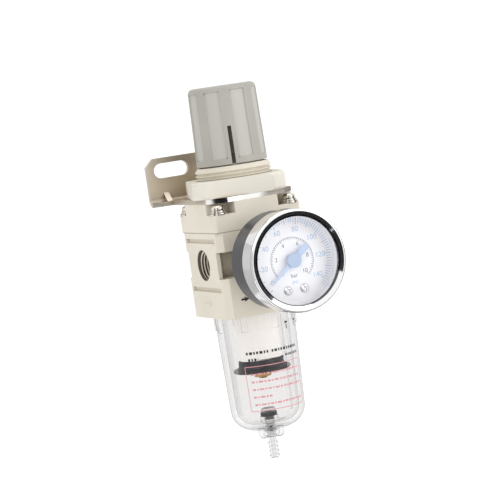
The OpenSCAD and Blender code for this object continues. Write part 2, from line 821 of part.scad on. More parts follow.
body();
bonnet();
bonnet_screws();
screw_washers();
panel_nut();
bracket();
knob();
adjusting_screw();
thrust_washer();
spring_seat();
main_spring();
diaphragm_plate();
diaphragm();
relief_seat();
valve();
valve_spring();
valve_guide();
guide_seal();
centre_stud();
deflector();
filter_element();
baffle();
element_nut();
bowl();
bowl_seal();
drain_valve();
drain_seal();
drain_knob();
rear_plug();
gauge_socket();
gauge_case();
gauge_bezel();
lens_gasket();
gauge_lens();
gauge_dial();
dial_screws();
bourdon_tube();
movement_frame();
sector_gear();
movement_link();
pinion();
needle();
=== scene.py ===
"""Looks of an air filter-regulator: materials, printed marks and finer meshes round the CAD frame."""
import itertools
import json
import math

import bmesh
import bpy
from mathutils import Matrix, Vector


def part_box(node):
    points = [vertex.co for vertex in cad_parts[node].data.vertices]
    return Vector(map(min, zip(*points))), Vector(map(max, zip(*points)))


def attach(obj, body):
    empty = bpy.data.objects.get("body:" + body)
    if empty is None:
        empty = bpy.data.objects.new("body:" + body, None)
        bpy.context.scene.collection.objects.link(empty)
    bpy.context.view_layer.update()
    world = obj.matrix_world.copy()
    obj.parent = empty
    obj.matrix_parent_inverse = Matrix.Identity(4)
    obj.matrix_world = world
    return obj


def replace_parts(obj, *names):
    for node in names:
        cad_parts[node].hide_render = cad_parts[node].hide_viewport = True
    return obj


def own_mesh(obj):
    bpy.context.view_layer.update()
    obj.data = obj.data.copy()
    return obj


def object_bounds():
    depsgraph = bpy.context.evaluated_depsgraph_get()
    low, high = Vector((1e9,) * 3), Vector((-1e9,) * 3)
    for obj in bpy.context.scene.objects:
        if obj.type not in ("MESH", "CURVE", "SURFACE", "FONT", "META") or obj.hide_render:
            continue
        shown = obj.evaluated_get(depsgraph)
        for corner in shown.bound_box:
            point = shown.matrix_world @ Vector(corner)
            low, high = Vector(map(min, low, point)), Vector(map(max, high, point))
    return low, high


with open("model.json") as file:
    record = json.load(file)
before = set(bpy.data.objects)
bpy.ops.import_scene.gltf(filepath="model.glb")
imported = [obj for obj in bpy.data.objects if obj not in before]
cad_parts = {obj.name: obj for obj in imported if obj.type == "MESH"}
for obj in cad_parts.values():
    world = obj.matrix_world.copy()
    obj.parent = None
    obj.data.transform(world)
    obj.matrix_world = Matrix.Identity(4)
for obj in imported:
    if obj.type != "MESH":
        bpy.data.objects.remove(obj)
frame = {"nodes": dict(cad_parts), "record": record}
CAD_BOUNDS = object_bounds()
NODES = frame["nodes"]
SLOTS = {part["node"]: part["material_slot"] for part in frame["record"]["subparts"]}
PORTS = [mount for mount in frame["record"]["mounts"] if mount["kind"] == "threaded_hole"]
MM = 0.001

# body
PORT_R = PORTS[0]["dims"]["r_mm"] * MM
SEAM_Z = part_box("body")[1].z
RECESS_HALF = 5.7 * MM

# knob
KNOB_LOW, KNOB_HIGH = (corner.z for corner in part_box("knob"))
KNOB_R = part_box("knob")[1].x
KNOB_DRAFT = 0.7 * MM
PANELS_TOP = KNOB_HIGH - 2.2 * MM

# bracket
SHEET_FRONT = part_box("bracket")[0].y
SHEET_LOW, SHEET_HIGH = (corner.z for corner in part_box("bracket"))
CUT_EDGES_BACK = SHEET_FRONT + 7.5 * MM

# gauge bezel
BEZEL_FRONT, BEZEL_BACK = (-corner.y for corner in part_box("gauge_bezel"))
BEZEL_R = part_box("gauge_bezel")[1].x
CASE_R = 20.65 * MM
CONE_R = 20.3 * MM
WINDOW_R = 18.2 * MM
RIM_ROUND = 0.8 * MM
CONE_DEPTH = 0.8 * MM
LIP_DEPTH = 1.85 * MM
RIM_LINE_Y = -BEZEL_FRONT + 0.75 * MM

# bowl, whose wall narrows from the shoulder to a round bottom corner
SHOULDER_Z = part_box("body")[0].z - 0.1 * MM
SHOULDER_R = 17.4 * MM
CORNER_Z = -65.4 * MM
CORNER_R = 16.2 * MM
CORNER_ROUND = 9 * MM
BOWL_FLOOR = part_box("bowl")[0].z + 1.5 * MM
MID_WALL = 1.15 * MM


# ---------- material building ----------

class Look:
    """A material's node tree, with short calls for adding nodes and links."""

    def __init__(self):
        self.material = bpy.data.materials.new("look")
        self.material.use_nodes = True
        self.tree = self.material.node_tree
        self.shader = self.tree.nodes["Principled BSDF"]
        self.output = self.tree.nodes["Material Output"]
        self.place = self.tree.nodes.new("ShaderNodeTexCoord").outputs["Object"]
        self.x, self.y, self.z = self.add("ShaderNodeSeparateXYZ", {"Vector": self.place}).outputs

    def feed(self, node, name, value):
        """Sets an input to a value, or links it to another node's output."""
        socket = node.inputs[name]
        if isinstance(value, bpy.types.NodeSocket):
            self.tree.links.new(value, socket)
        else:
            socket.default_value = value

    def add(self, kind, inputs=None, **settings):
        node = self.tree.nodes.new(kind)
        for key, value in settings.items():
            setattr(node, key, value)
        for name, value in (inputs or {}).items():
            self.feed(node, name, value)
        return node

    def surface(self, **inputs):
        """Sets the main shader's inputs; an underscore in a name stands for a space."""
        for name, value in inputs.items():
            self.feed(self.shader, name.replace("_", " "), value)

    def noise(self, scale, detail=3.0, roughness=0.5, stretch=(1, 1, 1)):
        """Fractal noise with a size in features per metre, as a 0 to 1 value."""
        place = self.add("ShaderNodeMapping", {"Vector": self.place, "Scale": stretch}).outputs[0]
        return self.add("ShaderNodeTexNoise", {"Vector": place, "Scale": scale, "Detail": detail,
                                               "Roughness": roughness}).outputs[0]

    def math(self, operation, first, second=0.0):
        return self.add("ShaderNodeMath", {0: first, 1: second}, operation=operation).outputs[0]

    def length(self, first, second):
        """Length of a flat vector."""
        flat = self.add("ShaderNodeCombineXYZ", {"X": first, "Y": second}).outputs[0]
        return self.add("ShaderNodeVectorMath", {0: flat}, operation="LENGTH").outputs["Value"]

    def ramp(self, value, low, high, start=0.0, end=1.0):
        """Maps start..end of a value to low..high."""
        return self.add("ShaderNodeMapRange", {"Value": value, "From Min": start, "From Max": end,
                                               "To Min": low, "To Max": high}).outputs[0]

    def mix(self, factor, first, second, blend="MIX"):
        """Mixes two colours."""
        node = self.add("ShaderNodeMix", {0: factor, 6: first, 7: second}, data_type="RGBA", blend_type=blend)
        return node.outputs[2]

    def bump(self, height, distance, strength=1.0, normal=None):
        inputs = {"Height": height, "Distance": distance, "Strength": strength}
        if normal is not None:
            inputs["Normal"] = normal
        return self.add("ShaderNodeBump", inputs).outputs[0]

    def crevice(self, distance):
        """0 in the open and towards 1 in corners and grooves."""
        node = self.add("ShaderNodeAmbientOcclusion", {"Distance": distance}, samples=8)
        return self.ramp(node.outputs["AO"], 1.0, 0.0, 0.25, 0.95)

    def edge(self, radius):
        """Near 1 along sharp edges."""
        rounded = self.add("ShaderNodeBevel", {"Radius": radius}, samples=4).outputs[0]
        normal = self.add("ShaderNodeNewGeometry").outputs["Normal"]
        dot = self.add("ShaderNodeVectorMath", {0: rounded, 1: normal}, operation="DOT_PRODUCT")
        return self.ramp(dot.outputs["Value"], 1.0, 0.0, 0.75, 0.98)

    def glossy(self, **inputs):
        return self.add("ShaderNodeBsdfGlossy", {"Color": (1, 1, 1, 1), **inputs}).outputs[0]

    def transparent(self, colour=(1, 1, 1, 1)):
        return self.add("ShaderNodeBsdfTransparent", {"Color": colour}).outputs[0]

    def blend(self, factor, first, second):
        """Mixes two shaders."""
        return self.add("ShaderNodeMixShader", {0: factor, 1: first, 2: second}).outputs[0]

    def show(self, shader):
        """Makes a shader the material's surface."""
        self.feed(self.output, "Surface", shader)


def rgb(r, g, b):
    """A colour named by its 0-255 screen values, as linear RGBA."""
    def linear(v):
        v = v / 255
        return v / 12.92 if v <= 0.04045 else ((v + 0.055) / 1.055) ** 2.4
    return (linear(r), linear(g), linear(b), 1.0)


def shade(colour, factor):
    """The colour made lighter or darker."""
    return tuple(min(1.0, c * factor) for c in colour[:3]) + (1.0,)


def painted(light, dark, roughness, grain, depth, tone_and_light=None):
    """Paint or moulded plastic: faint patches, painted shade in corners, painted highlights on sharp edges
    and a fine surface grain.

    grain is in features per metre. The last argument, a function of (look, colour), may change the colour in
    some places, with own tone and with painted shade and reflections.
    """
    look = Look()
    patches = look.noise(45, 3)
    colour = look.mix(look.ramp(patches, 0, 1, 0.35, 0.65), light, dark)
    # painted shade in corners and grooves
    colour = look.mix(look.ramp(look.crevice(1.6 * MM), 0, 0.55), colour, shade(dark, 0.72))
    # a painted highlight along sharp edges
    colour = look.mix(look.ramp(look.edge(0.35 * MM), 0, 0.25), colour, shade(light, 1.18))
    if tone_and_light is not None:
        colour = tone_and_light(look, colour)
    fine = look.noise(grain, 2, 0.6)
    wavy = look.noise(grain / 9, 2)
    bumped = look.bump(fine, depth, 0.5, look.bump(wavy, depth * 3, 0.35))
    look.surface(Base_Color=colour, Roughness=look.ramp(fine, roughness - 0.05, roughness + 0.07),
                 Normal=bumped, Specular_IOR_Level=0.45)
    return look.material


def metal(light, dark, roughness, grain, depth, stretch=(1, 1, 1), tone_and_light=None):
    """Metal with faint tonal patches, painted shade in its corners and a drawn grain."""
    look = Look()
    colour = look.mix(look.ramp(look.noise(60, 4), 0, 1, 0.3, 0.7), light, dark)
    # painted shade in corners and grooves
    colour = look.mix(look.ramp(look.crevice(1.2 * MM), 0, 0.6), colour, shade(dark, 0.35))
    if tone_and_light is not None:
        colour = tone_and_light(look, colour)
    drawn = look.noise(grain, 3, 0.6, stretch)
    look.surface(Base_Color=colour, Metallic=1.0, Normal=look.bump(drawn, depth, 0.4),
                 Roughness=look.ramp(drawn, roughness * 0.75, roughness * 1.35))
    return look.material


def line_at(look, value, centre, half_width, colour, line_colour, strength):
    """A thin line, with soft edges, where a value is close to its centre."""
    away = look.math("ABSOLUTE", look.math("SUBTRACT", value, centre))
    line = look.ramp(away, strength, 0, half_width, half_width + 0.1 * MM)
    return look.mix(line, colour, line_colour)


def deep_recesses(look, colour):
    """Darkens the seam line under the bonnet, and paints shade into the recesses at port height, the ports
    and the knob's neck.
    """
    colour = line_at(look, look.z, SEAM_Z, 0.12 * MM, colour, rgb(128, 119, 104), 0.8)
    # painted shade in the recesses at port height, where they are enclosed
    away = look.math("ABSOLUTE", look.z)
    level = look.ramp(away, 1, 0, RECESS_HALF - 0.1 * MM, RECESS_HALF + 0.2 * MM)
    hidden = look.ramp(look.crevice(7 * MM), 0, 0.85, 0.4, 0.9)
    colour = look.mix(look.math("MULTIPLY", level, hidden), colour, rgb(142, 142, 130))
    # painted shade inside the ports and on the neck under the knob
    in_port = look.ramp(look.length(look.y, look.z), 0.9, 0, PORT_R * 1.005, PORT_R * 1.03)
    under_knob = look.ramp(look.z, 0, 0.9, KNOB_LOW, KNOB_LOW + 0.5 * MM)
    return look.mix(look.math("MAXIMUM", in_port, under_knob), colour, rgb(66, 60, 50))


def thread_shading(look, colour):
    """Bright crests and dark roots on the port threads."""
    root = look.ramp(look.length(look.y, look.z), 0, 1, PORT_R - 0.6 * MM, PORT_R - 0.2 * MM)
    return look.mix(root, colour, rgb(58, 51, 41))


def grip_panels(look, colour):
    """The knob's recessed panels are paler than its ribs, and its slit is painted dark as shade."""
    wall = look.ramp(look.z, KNOB_R, KNOB_R - KNOB_DRAFT, KNOB_LOW, KNOB_HIGH)
    below = look.math("SUBTRACT", wall, look.length(look.x, look.y))
    side = look.ramp(look.z, 1, 0, PANELS_TOP - 0.1 * MM, PANELS_TOP + 0.1 * MM)
    depth = look.math("MULTIPLY", below, side)
    colour = look.mix(look.ramp(depth, 0, 1, 0.15 * MM, 0.45 * MM), colour, rgb(189, 187, 180))
    # painted shade in the slit
    return look.mix(look.ramp(depth, 0, 0.95, 0.6 * MM, 0.8 * MM), colour, rgb(34, 29, 23))


def ring_lines(look, colour):
    """Painted reflections on the bezel: greyer, streaked sides and a dark line where its rim starts to round;
    and a painted shadow line at the window.
    """
    # painted darker reflection on the sides, in streaks
    side = look.ramp(look.y, 0, 1, RIM_LINE_Y + 0.2 * MM, RIM_LINE_Y + 0.8 * MM)
    streaks = look.ramp(look.noise(60, 3, 0.5, (1, 0.15, 1)), 0.35, 1, 0.35, 0.65)
    colour = look.mix(look.math("MULTIPLY", side, streaks), colour, rgb(206, 205, 204))
    dark = rgb(52, 52, 54)
    # a painted dark reflection where the rim starts to round
    colour = line_at(look, look.y, RIM_LINE_Y, 0.14 * MM, colour, dark, 0.9)
    # a painted shadow line in the gap at the window
    return line_at(look, look.length(look.x, look.z), WINDOW_R, 0.16 * MM, colour, dark, 0.9)


def plated_sheet():
    """Nickel-plated sheet: painted brownish reflection and painted shade on its faces, and painted bright and
    dark reflections on its rippled cut front edges.
    """
    look = Look()
    # the cut edges stand upright near the front
    forward = look.ramp(look.y, 1, 0, CUT_EDGES_BACK - 0.5 * MM, CUT_EDGES_BACK + 0.5 * MM)
    normal = look.add("ShaderNodeNewGeometry").outputs["True Normal"]
    tilt = look.add("ShaderNodeSeparateXYZ", {"Vector": normal}).outputs["Z"]
    upright = look.ramp(look.math("ABSOLUTE", tilt), 1, 0, 0.5, 0.8)
    cut_edge = look.math("MULTIPLY", forward, upright)
    # the faces are a little lighter low down, with a painted brownish reflection that darkens towards the
    # middle and painted shade in corners
    upper = look.ramp(look.z, 0, 1, SHEET_LOW, SHEET_HIGH)
    middle = look.ramp(look.math("ABSOLUTE", look.x), 0.75, 0, 10 * MM, 28 * MM)
    face = look.mix(upper, rgb(232, 221, 206), rgb(224, 215, 202))
    face = look.mix(middle, face, rgb(190, 176, 156))
    face = look.mix(look.ramp(look.noise(70, 4), 0, 0.5, 0.3, 0.7), face, rgb(204, 192, 174))
    face = look.mix(look.ramp(look.crevice(2.6 * MM), 0, 0.75), face, rgb(78, 65, 49))
    # a faint painted highlight along sharp edges
    face = look.mix(look.ramp(look.edge(0.4 * MM), 0, 0.12), face, rgb(250, 246, 240))
    grain = look.noise(500, 3, 0.6, (0.15, 1, 1))
    grained = look.bump(grain, 0.004 * MM, 0.4)
    rippled = look.bump(look.noise(50, 0, 0.5, (1, 1, 0.3)), 4 * MM, cut_edge, grained)
    # painted bright and dark reflections in bands on the cut edges
    bands = look.ramp(look.noise(90, 0, 0.5, (1, 1, 0.2)), 0, 1, 0.5, 0.62)
    edge_colour = look.mix(bands, rgb(248, 246, 242), rgb(120, 109, 96))
    look.surface(Base_Color=look.mix(cut_edge, face, edge_colour), Metallic=1.0, Normal=rippled,
                 Roughness=look.mix(cut_edge, look.ramp(grain, 0.24, 0.4), (0.09, 0.09, 0.09, 1)))
    return look.material


def rubbery(colour, roughness):
    """Rubber or black plastic with a little dust in its grain."""
    look = Look()
    dusty = tuple(c * 1.8 + 0.01 for c in colour[:3]) + (1,)
    mixed = look.mix(look.ramp(look.noise(400, 4), 0, 0.6, 0.45, 0.8), colour, dusty)
    look.surface(Base_Color=mixed, Normal=look.bump(look.noise(2600, 2), 0.02 * MM, 0.5),
                 Roughness=look.ramp(look.noise(2200, 3), roughness - 0.08, roughness + 0.08))
    return look.material


def sintered():
    """Porous white filter body, with a grain of small beads and a faint painted glow."""
    look = Look()
    beads = look.add("ShaderNodeTexVoronoi", {"Vector": look.place, "Scale": 1500}).outputs["Distance"]
    colour = look.mix(look.ramp(beads, 0, 1, 0.1, 0.7), rgb(255, 252, 249), rgb(246, 242, 238))
    # the emission is a painted glow that keeps the white element bright
    look.surface(Base_Color=colour, Roughness=0.9, Normal=look.bump(beads, 0.03 * MM, 0.5),
                 Emission_Color=colour, Emission_Strength=0.16)
    return look.material


def lit_inside(look, surface):
    """Lets shadow and diffuse rays pass straight through, so that what is inside stays lit."""
    rays = look.add("ShaderNodeLightPath").outputs
    soft = look.math("MAXIMUM", rays["Is Shadow Ray"], rays["Is Diffuse Ray"])
    look.show(look.blend(soft, surface, look.transparent((0.985, 0.985, 0.985, 1))))


def bowl_outside(look):
    """1 on the bowl's outer skin and 0 on its inner skin."""
    out = look.math("SUBTRACT", look.length(look.x, look.y), CORNER_R - CORNER_ROUND)
    down = look.math("SUBTRACT", BOWL_FLOOR + CORNER_ROUND, look.z)
    distance = look.length(look.math("MAXIMUM", out), look.math("MAXIMUM", down))
    middle = CORNER_ROUND - MID_WALL
    return look.ramp(distance, 0, 1, middle - 0.25 * MM, middle + 0.25 * MM)


def thin_clear(haze, rim, rim_colour, face_on, low_angle, shine, outside=None):
    """Clear wall: see-through face on, greyer and milkier where it is seen at a low angle, with a painted
    darker rim there and painted outlines on sharp edges.

    haze and rim are the milky shares face on and at a low angle. face_on and low_angle are the shares
    of light that one skin lets through. outside(look) is a mask of a skin that is more frosted.
    """
    look = Look()
    facing = look.add("ShaderNodeLayerWeight", {"Blend": 0.35}).outputs["Facing"]
    flow = look.noise(90, 3, 0.5, (1, 1, 0.25))
    # at a low angle the wall takes rim_colour, a painted darker rim
    wall_colour = look.mix(look.ramp(facing, 0, 1, 0.3, 0.95), (0.93, 0.93, 0.94, 1), rim_colour)
    wall = look.add("ShaderNodeBsdfDiffuse", {"Color": wall_colour}).outputs[0]
    low = look.ramp(facing, 0, 1, 0.45, 0.97)
    tint = look.mix(low, (face_on, face_on * 0.997, face_on * 0.995, 1),
                    (low_angle, low_angle, low_angle * 1.01, 1))
    if outside is not None:
        frost = look.mix(low, (0.935, 0.933, 0.93, 1), (0.87, 0.87, 0.875, 1))
        tint = look.mix(outside(look), tint, frost, "MULTIPLY")
    milky = look.math("MULTIPLY", look.ramp(facing, haze, rim, 0.35, 0.98), look.ramp(flow, 0.75, 1.25))
    # painted outlines along sharp edges
    outline = look.ramp(look.edge(0.3 * MM), 0, 0.45)
    body = look.blend(look.math("MAXIMUM", milky, outline), look.transparent(tint), wall)
    waves = look.bump(flow, 0.3 * MM, 0.4)
    gloss = look.glossy(Normal=waves, Roughness=look.ramp(look.noise(300, 3), 0.03, 0.09))
    fresnel = look.add("ShaderNodeFresnel", {"IOR": 1.3, "Normal": waves}).outputs[0]
    lit_inside(look, look.blend(look.ramp(fresnel, 0.0, shine), body, gloss))
    return look.material


def window():
    """Thin flat window: mostly see-through, with a faint reflection that grows at a low angle."""
    look = Look()
    gloss = look.glossy(Roughness=look.ramp(look.noise(120, 3), 0.02, 0.07))
    fresnel = look.add("ShaderNodeFresnel", {"IOR": 1.45}).outputs[0]
    lit_inside(look, look.blend(look.ramp(fresnel, 0.0, 0.5), look.transparent((0.995, 0.995, 1, 1)), gloss))
    return look.material


def printed(colour, wear):
    """Screen-printed ink with slightly uneven coverage."""
    look = Look()
    faded = tuple(c * (1 - wear) + wear * 0.85 for c in colour[:3]) + (1,)
    look.surface(Base_Color=look.mix(look.ramp(look.noise(900, 4), 0, 1, 0.45, 0.75), colour, faded),
                 Roughness=look.ramp(look.noise(600), 0.45, 0.6))
    return look.material


LOOKS = {
    "ivory_paint": painted(rgb(232, 225, 210), rgb(226, 219, 203), 0.42, 2300, 0.02 * MM, deep_recesses),
    "port_thread": painted(rgb(236, 228, 212), rgb(230, 222, 205), 0.4, 2300, 0.01 * MM, thread_shading),
    "ivory_plastic": painted(rgb(234, 229, 217), rgb(229, 223, 210), 0.4, 2600, 0.012 * MM),
    "grey_plastic": painted(rgb(178, 175, 167), rgb(171, 168, 160), 0.46, 3000, 0.02 * MM, grip_panels),
    "case_paint": painted(rgb(54, 54, 60), rgb(45, 45, 50), 0.3, 1800, 0.01 * MM),
    "white_plastic": painted(rgb(235, 234, 230), rgb(226, 225, 220), 0.5, 2400, 0.01 * MM),
    "dial_white": painted(rgb(253, 253, 255), rgb(250, 250, 255), 0.55, 1500, 0.004 * MM),
    "needle_blue": painted(rgb(200, 216, 242), rgb(190, 208, 238), 0.4, 1800, 0.004 * MM),
    "moulded_mark": painted(rgb(226, 212, 202), rgb(222, 208, 198), 0.5, 2300, 0.01 * MM),
    "nickel": metal(rgb(226, 220, 210), rgb(212, 204, 190), 0.16, 500, 0.004 * MM, (0.15, 1, 1)),
    "chrome": metal(rgb(246, 246, 247), rgb(240, 240, 242), 0.07, 900, 0.001 * MM, tone_and_light=ring_lines),
    "bright_steel": metal(rgb(236, 236, 238), rgb(220, 220, 224), 0.24, 900, 0.004 * MM),
    "steel": metal(rgb(178, 178, 180), rgb(140, 140, 142), 0.32, 900, 0.01 * MM, (1, 1, 0.1)),
    "aluminium": metal(rgb(205, 206, 208), rgb(186, 187, 190), 0.35, 1200, 0.01 * MM),
    "brass": metal(rgb(214, 178, 112), rgb(176, 136, 78), 0.28, 800, 0.01 * MM),
    "plated_sheet": plated_sheet(),
    "rubber": rubbery(rgb(28, 28, 29), 0.6),
    "black_plastic": rubbery(rgb(20, 20, 22), 0.45),
    "filter_white": sintered(),
    "clear_plastic": thin_clear(haze=0.018, rim=0.2, rim_colour=(0.6, 0.6, 0.62, 1), face_on=0.962,
                                low_angle=0.93, shine=0.26, outside=bowl_outside),
    "clear_solid": thin_clear(haze=0.05, rim=0.85, rim_colour=(0.08, 0.078, 0.075, 1), face_on=0.915,
                              low_angle=0.32, shine=0.5),
    "lens_clear": window(),
    "ink_blue": printed(rgb(184, 207, 234), 0.15),
    "ink_grey": printed(rgb(122, 125, 133), 0.2),
    "ink_black": printed(rgb(28, 28, 30), 0.12),
    "ink_red": printed(rgb(218, 142, 150), 0.3),
}
for name, material in LOOKS.items():
    material.name = name


# ---------- mesh building ----------

def linked(name, data):
    """A new object in the scene."""
    thing = bpy.data.objects.new(name, data)
    bpy.context.scene.collection.objects.link(thing)
    return thing


def new_piece(name, mesh, look, body):
    """A piece of the visual model, on one of the frame's bodies."""
    piece = linked(name, mesh)
    mesh.materials.append(LOOKS[look])
    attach(piece, body)
    return piece


def facing(direction):
    """The rotation that turns +Z towards a direction."""
    return Vector(direction).to_track_quat("Z", "Y").to_matrix().to_4x4()


def smooth(mesh, angle):
    """Smooth shading that keeps edges sharper than the angle, in degrees."""
    mesh.polygons.foreach_set("use_smooth", [True] * len(mesh.polygons))
    mesh.set_sharp_from_angle(angle=math.radians(angle))


def mesh_from(name, vertices, faces):
    mesh = bpy.data.meshes.new(name)
    mesh.from_pydata([tuple(v) for v in vertices], [], faces)
    mesh.validate()
    work = bmesh.new()
    work.from_mesh(mesh)
    bmesh.ops.remove_doubles(work, verts=work.verts, dist=1e-7)
    bmesh.ops.recalc_face_normals(work, faces=work.faces)
    work.to_mesh(mesh)
    work.free()
    return mesh


def lathe(name, profile, segments=96):
    """Turns a closed profile of (radius, height) round +Z."""
    count = len(profile)
    vertices = []
    for s in range(segments):
        angle = 2 * math.pi * s / segments
        vertices += [(r * math.cos(angle), r * math.sin(angle), z) for r, z in profile]
    faces = [(s * count + i, (s + 1) % segments * count + i,
              (s + 1) % segments * count + (i + 1) % count, s * count + (i + 1) % count)
             for s in range(segments) for i in range(count)]
    return mesh_from(name, vertices, faces)


def swept(name, sections):
    """A closed tube through sections that have the same number of points."""
    sides = len(sections[0])
    last = sides * (len(sections) - 1)
    vertices = [point for section in sections for point in section]
    faces = [(i + k, i + sides + k, i + sides + (k + 1) % sides, i + (k + 1) % sides)
             for i in range(0, last, sides) for k in range(sides)]
    faces += [tuple(range(sides)), tuple(range(last, last + sides))]
    return mesh_from(name, vertices, faces)


# ---------- CAD nodes that keep their shape ----------

# these nodes look different from the rest of their material slot
OWN_LOOKS = {"drain_valve": "clear_solid", "drain_knob": "clear_solid", "bracket": "plated_sheet",
             "dial_screws": "bright_steel"}
for node, piece in NODES.items():
    piece.data.materials.clear()
    piece.data.materials.append(LOOKS[OWN_LOOKS.get(node, SLOTS[node])])

EDGE_WIDTHS = {
    "body": 0.25 * MM, "bonnet": 0.22 * MM, "panel_nut": 0.3 * MM, "bracket": 0.2 * MM, "knob": 0.15 * MM,
    "bonnet_screws": 0.12 * MM, "screw_washers": 0.1 * MM, "gauge_socket": 0.2 * MM,
    "drain_knob": 0.3 * MM, "drain_valve": 0.1 * MM, "baffle": 0.2 * MM, "bowl": 0.2 * MM,
    "gauge_case": 0.3 * MM, "needle": 0.08 * MM, "dial_screws": 0.08 * MM,
    "drain_seal": 0.15 * MM, "filter_element": 0.2 * MM, "gauge_dial": 0.1 * MM, "element_nut": 0.15 * MM,
}


def soften(piece, width):
    """Rounds a CAD node's sharp edges slightly, with modifiers only."""
    piece.data.polygons.foreach_set("use_smooth", [True] * len(piece.data.polygons))
    piece.modifiers.new("weld", "WELD").merge_threshold = 0.002 * MM
    bevel = piece.modifiers.new("edge", "BEVEL")
    bevel.width = width
    bevel.segments = 2
    bevel.limit_method = "ANGLE"
    bevel.angle_limit = math.radians(30)
    bevel.miter_outer = "MITER_ARC"
    piece.modifiers.new("normals", "WEIGHTED_NORMAL").keep_sharp = True


for node, width in EDGE_WIDTHS.items():
    soften(NODES[node], width)


# ---------- port threads ----------

THREAD_PITCH = 1.337 * MM
THREAD_HEIGHT = 0.86 * MM
THREAD_STEPS = 72


def inner_thread(name, radius, z0, z1):
    """A helical ridge with a triangular section inside a bore. It runs out at both ends."""
    total = int(THREAD_STEPS * (z1 - z0) / THREAD_PITCH)
    foot = radius + 0.02 * MM
    sections = []
    for i in range(total + 1):
        angle = 2 * math.pi * i / THREAD_STEPS
        z = z0 + THREAD_PITCH * i / THREAD_STEPS
        fade = min(1.0, 8 * i / total, 8 * (total - i) / total) * 0.999 + 0.001
        crest = radius - THREAD_HEIGHT * fade
        sections.append([(r * math.cos(angle), r * math.sin(angle), z + dz * THREAD_PITCH * fade)
                         for r, dz in ((foot, -0.42), (crest, -0.07), (crest, 0.07), (foot, 0.42))])
    return swept(name, sections)


for port in PORTS:
    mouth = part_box("body")[1].x
    bottom = mouth - port["dims"]["length_mm"] * MM
    ridge = inner_thread(port["name"] + "_thread", PORT_R, bottom, mouth - 0.45 * THREAD_PITCH)
    ridge.transform(facing(port["axis"]))
    smooth(ridge, 60)
    new_piece(port["name"] + "_thread", ridge, "port_thread", "root")


# ---------- gauge bezel, with a rounded rim ----------

outline = [(CASE_R, BEZEL_BACK), (BEZEL_R - 0.3 * MM, BEZEL_BACK), (BEZEL_R, BEZEL_BACK + 0.4 * MM)]
for degrees in range(0, 91, 10):
    turn = math.radians(degrees)
    inwards = RIM_ROUND * (1 - math.cos(turn))
    backwards = RIM_ROUND * (1 - math.sin(turn))
    outline.append((BEZEL_R - inwards, BEZEL_FRONT - backwards))
outline += [(CONE_R, BEZEL_FRONT - 0.02 * MM), (WINDOW_R, BEZEL_FRONT - CONE_DEPTH),
            (WINDOW_R, BEZEL_FRONT - LIP_DEPTH), (CASE_R, BEZEL_FRONT - LIP_DEPTH)]
ring = lathe("bezel_ring", outline, 240)
ring.transform(Matrix.Rotation(math.radians(90), 4, "X"))
smooth(ring, 12)
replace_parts(new_piece("bezel_ring", ring, "chrome", "root"), "gauge_bezel")


# ---------- printed marks, drawn in millimetres ----------

class Print:
    """Thin raised print. place(u, v, height), in metres, puts a point on the printed surface."""

    def __init__(self, place, thickness=0.02):
        self.place = place
        self.thickness = thickness
        self.vertices = []
        self.faces = []

    def put(self, u, v, height):
        self.vertices.append(self.place(u * MM, v * MM, height * MM))

    def strip(self, left, right):
        """A strip between two rows of points, with both skins and its rim."""
        start = len(self.vertices)
        count = len(left)
        for height in (-self.thickness, self.thickness):
            for u, v in left + right:
                self.put(u, v, height)
        for i in range(count - 1):
            low_l, low_r, high_l, high_r = (start + k * count + i for k in range(4))
            self.faces += [(low_l, low_r, low_r + 1, low_l + 1), (high_l, high_l + 1, high_r + 1, high_r),
                           (low_l, low_l + 1, high_l + 1, high_l), (low_r, high_r, high_r + 1, low_r + 1)]
        for i in (0, count - 1):
            self.faces.append(tuple(start + k * count + i for k in (0, 2, 3, 1)))

    def line(self, start, end, width, steps=1):
        start, end = Vector(start), Vector(end)
        side = (end - start).normalized().orthogonal() * width / 2
        centres = [start.lerp(end, i / steps) for i in range(steps + 1)]
        self.strip([c + side for c in centres], [c - side for c in centres])

    def ring(self, radius, width, start, end, steps):
        angles = [start + (end - start) * i / steps for i in range(steps + 1)]
        self.strip(*([polar(radius + side * width / 2, angle) for angle in angles] for side in (-1, 1)))

    def arrow(self, tail, tip, v, shaft, head):
        """A plain arrow along the first axis."""
        neck = tip - head
        self.line((tail, v), (neck, v), shaft)
        self.strip([(neck, v + head / 2), (tip, v)], [(neck, v - head / 2), (tip, v)])

    def dashes(self, start, end, v, height, lengths, gap=0.55):
        """A row of short bars of repeating lengths, in place of a line of words."""
        at = start
        for length in itertools.cycle(lengths):
            if at >= end:
                break
            stop = min(at + length, end)
            self.line((at, v), (stop, v), height, 3)
            at = stop + gap

    def words(self, text, size, centre):
        """Characters of Blender's own font, centred on a point."""
        curve = bpy.data.curves.new("words", "FONT")
        curve.body = text
        curve.size = size
        curve.align_x = "CENTER"
        curve.align_y = "CENTER"
        curve.extrude = self.thickness
        curve.resolution_u = 4
        holder = bpy.data.objects.new("words", curve)
        mesh = bpy.data.meshes.new_from_object(holder)
        first = len(self.vertices)
        for vertex in mesh.vertices:
            self.put(vertex.co.x + centre[0], vertex.co.y + centre[1], vertex.co.z)
        self.faces += [tuple(first + i for i in face.vertices) for face in mesh.polygons]
        bpy.data.objects.remove(holder)
        bpy.data.meshes.remove(mesh)
        bpy.data.curves.remove(curve)

    def piece(self, name, look, body):
        return new_piece(name, mesh_from(name, self.vertices, self.faces), look, body)


def polar(radius, degrees):
    return (radius * math.cos(math.radians(degrees)), radius * math.sin(math.radians(degrees)))


DIAL_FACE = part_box("gauge_dial")[1].y - 0.48 * MM
BODY_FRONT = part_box("body")[0].y
BODY_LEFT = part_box("body")[0].x
LIFT = 0.01 * MM


def on_dial(u, v, height):
    return (u, DIAL_FACE - LIFT - height, v)


def on_front(u, v, height):
    return (u, BODY_FRONT - LIFT - height, v)


def on_left(u, v, height):
    return (BODY_LEFT - LIFT - height, -u, v)


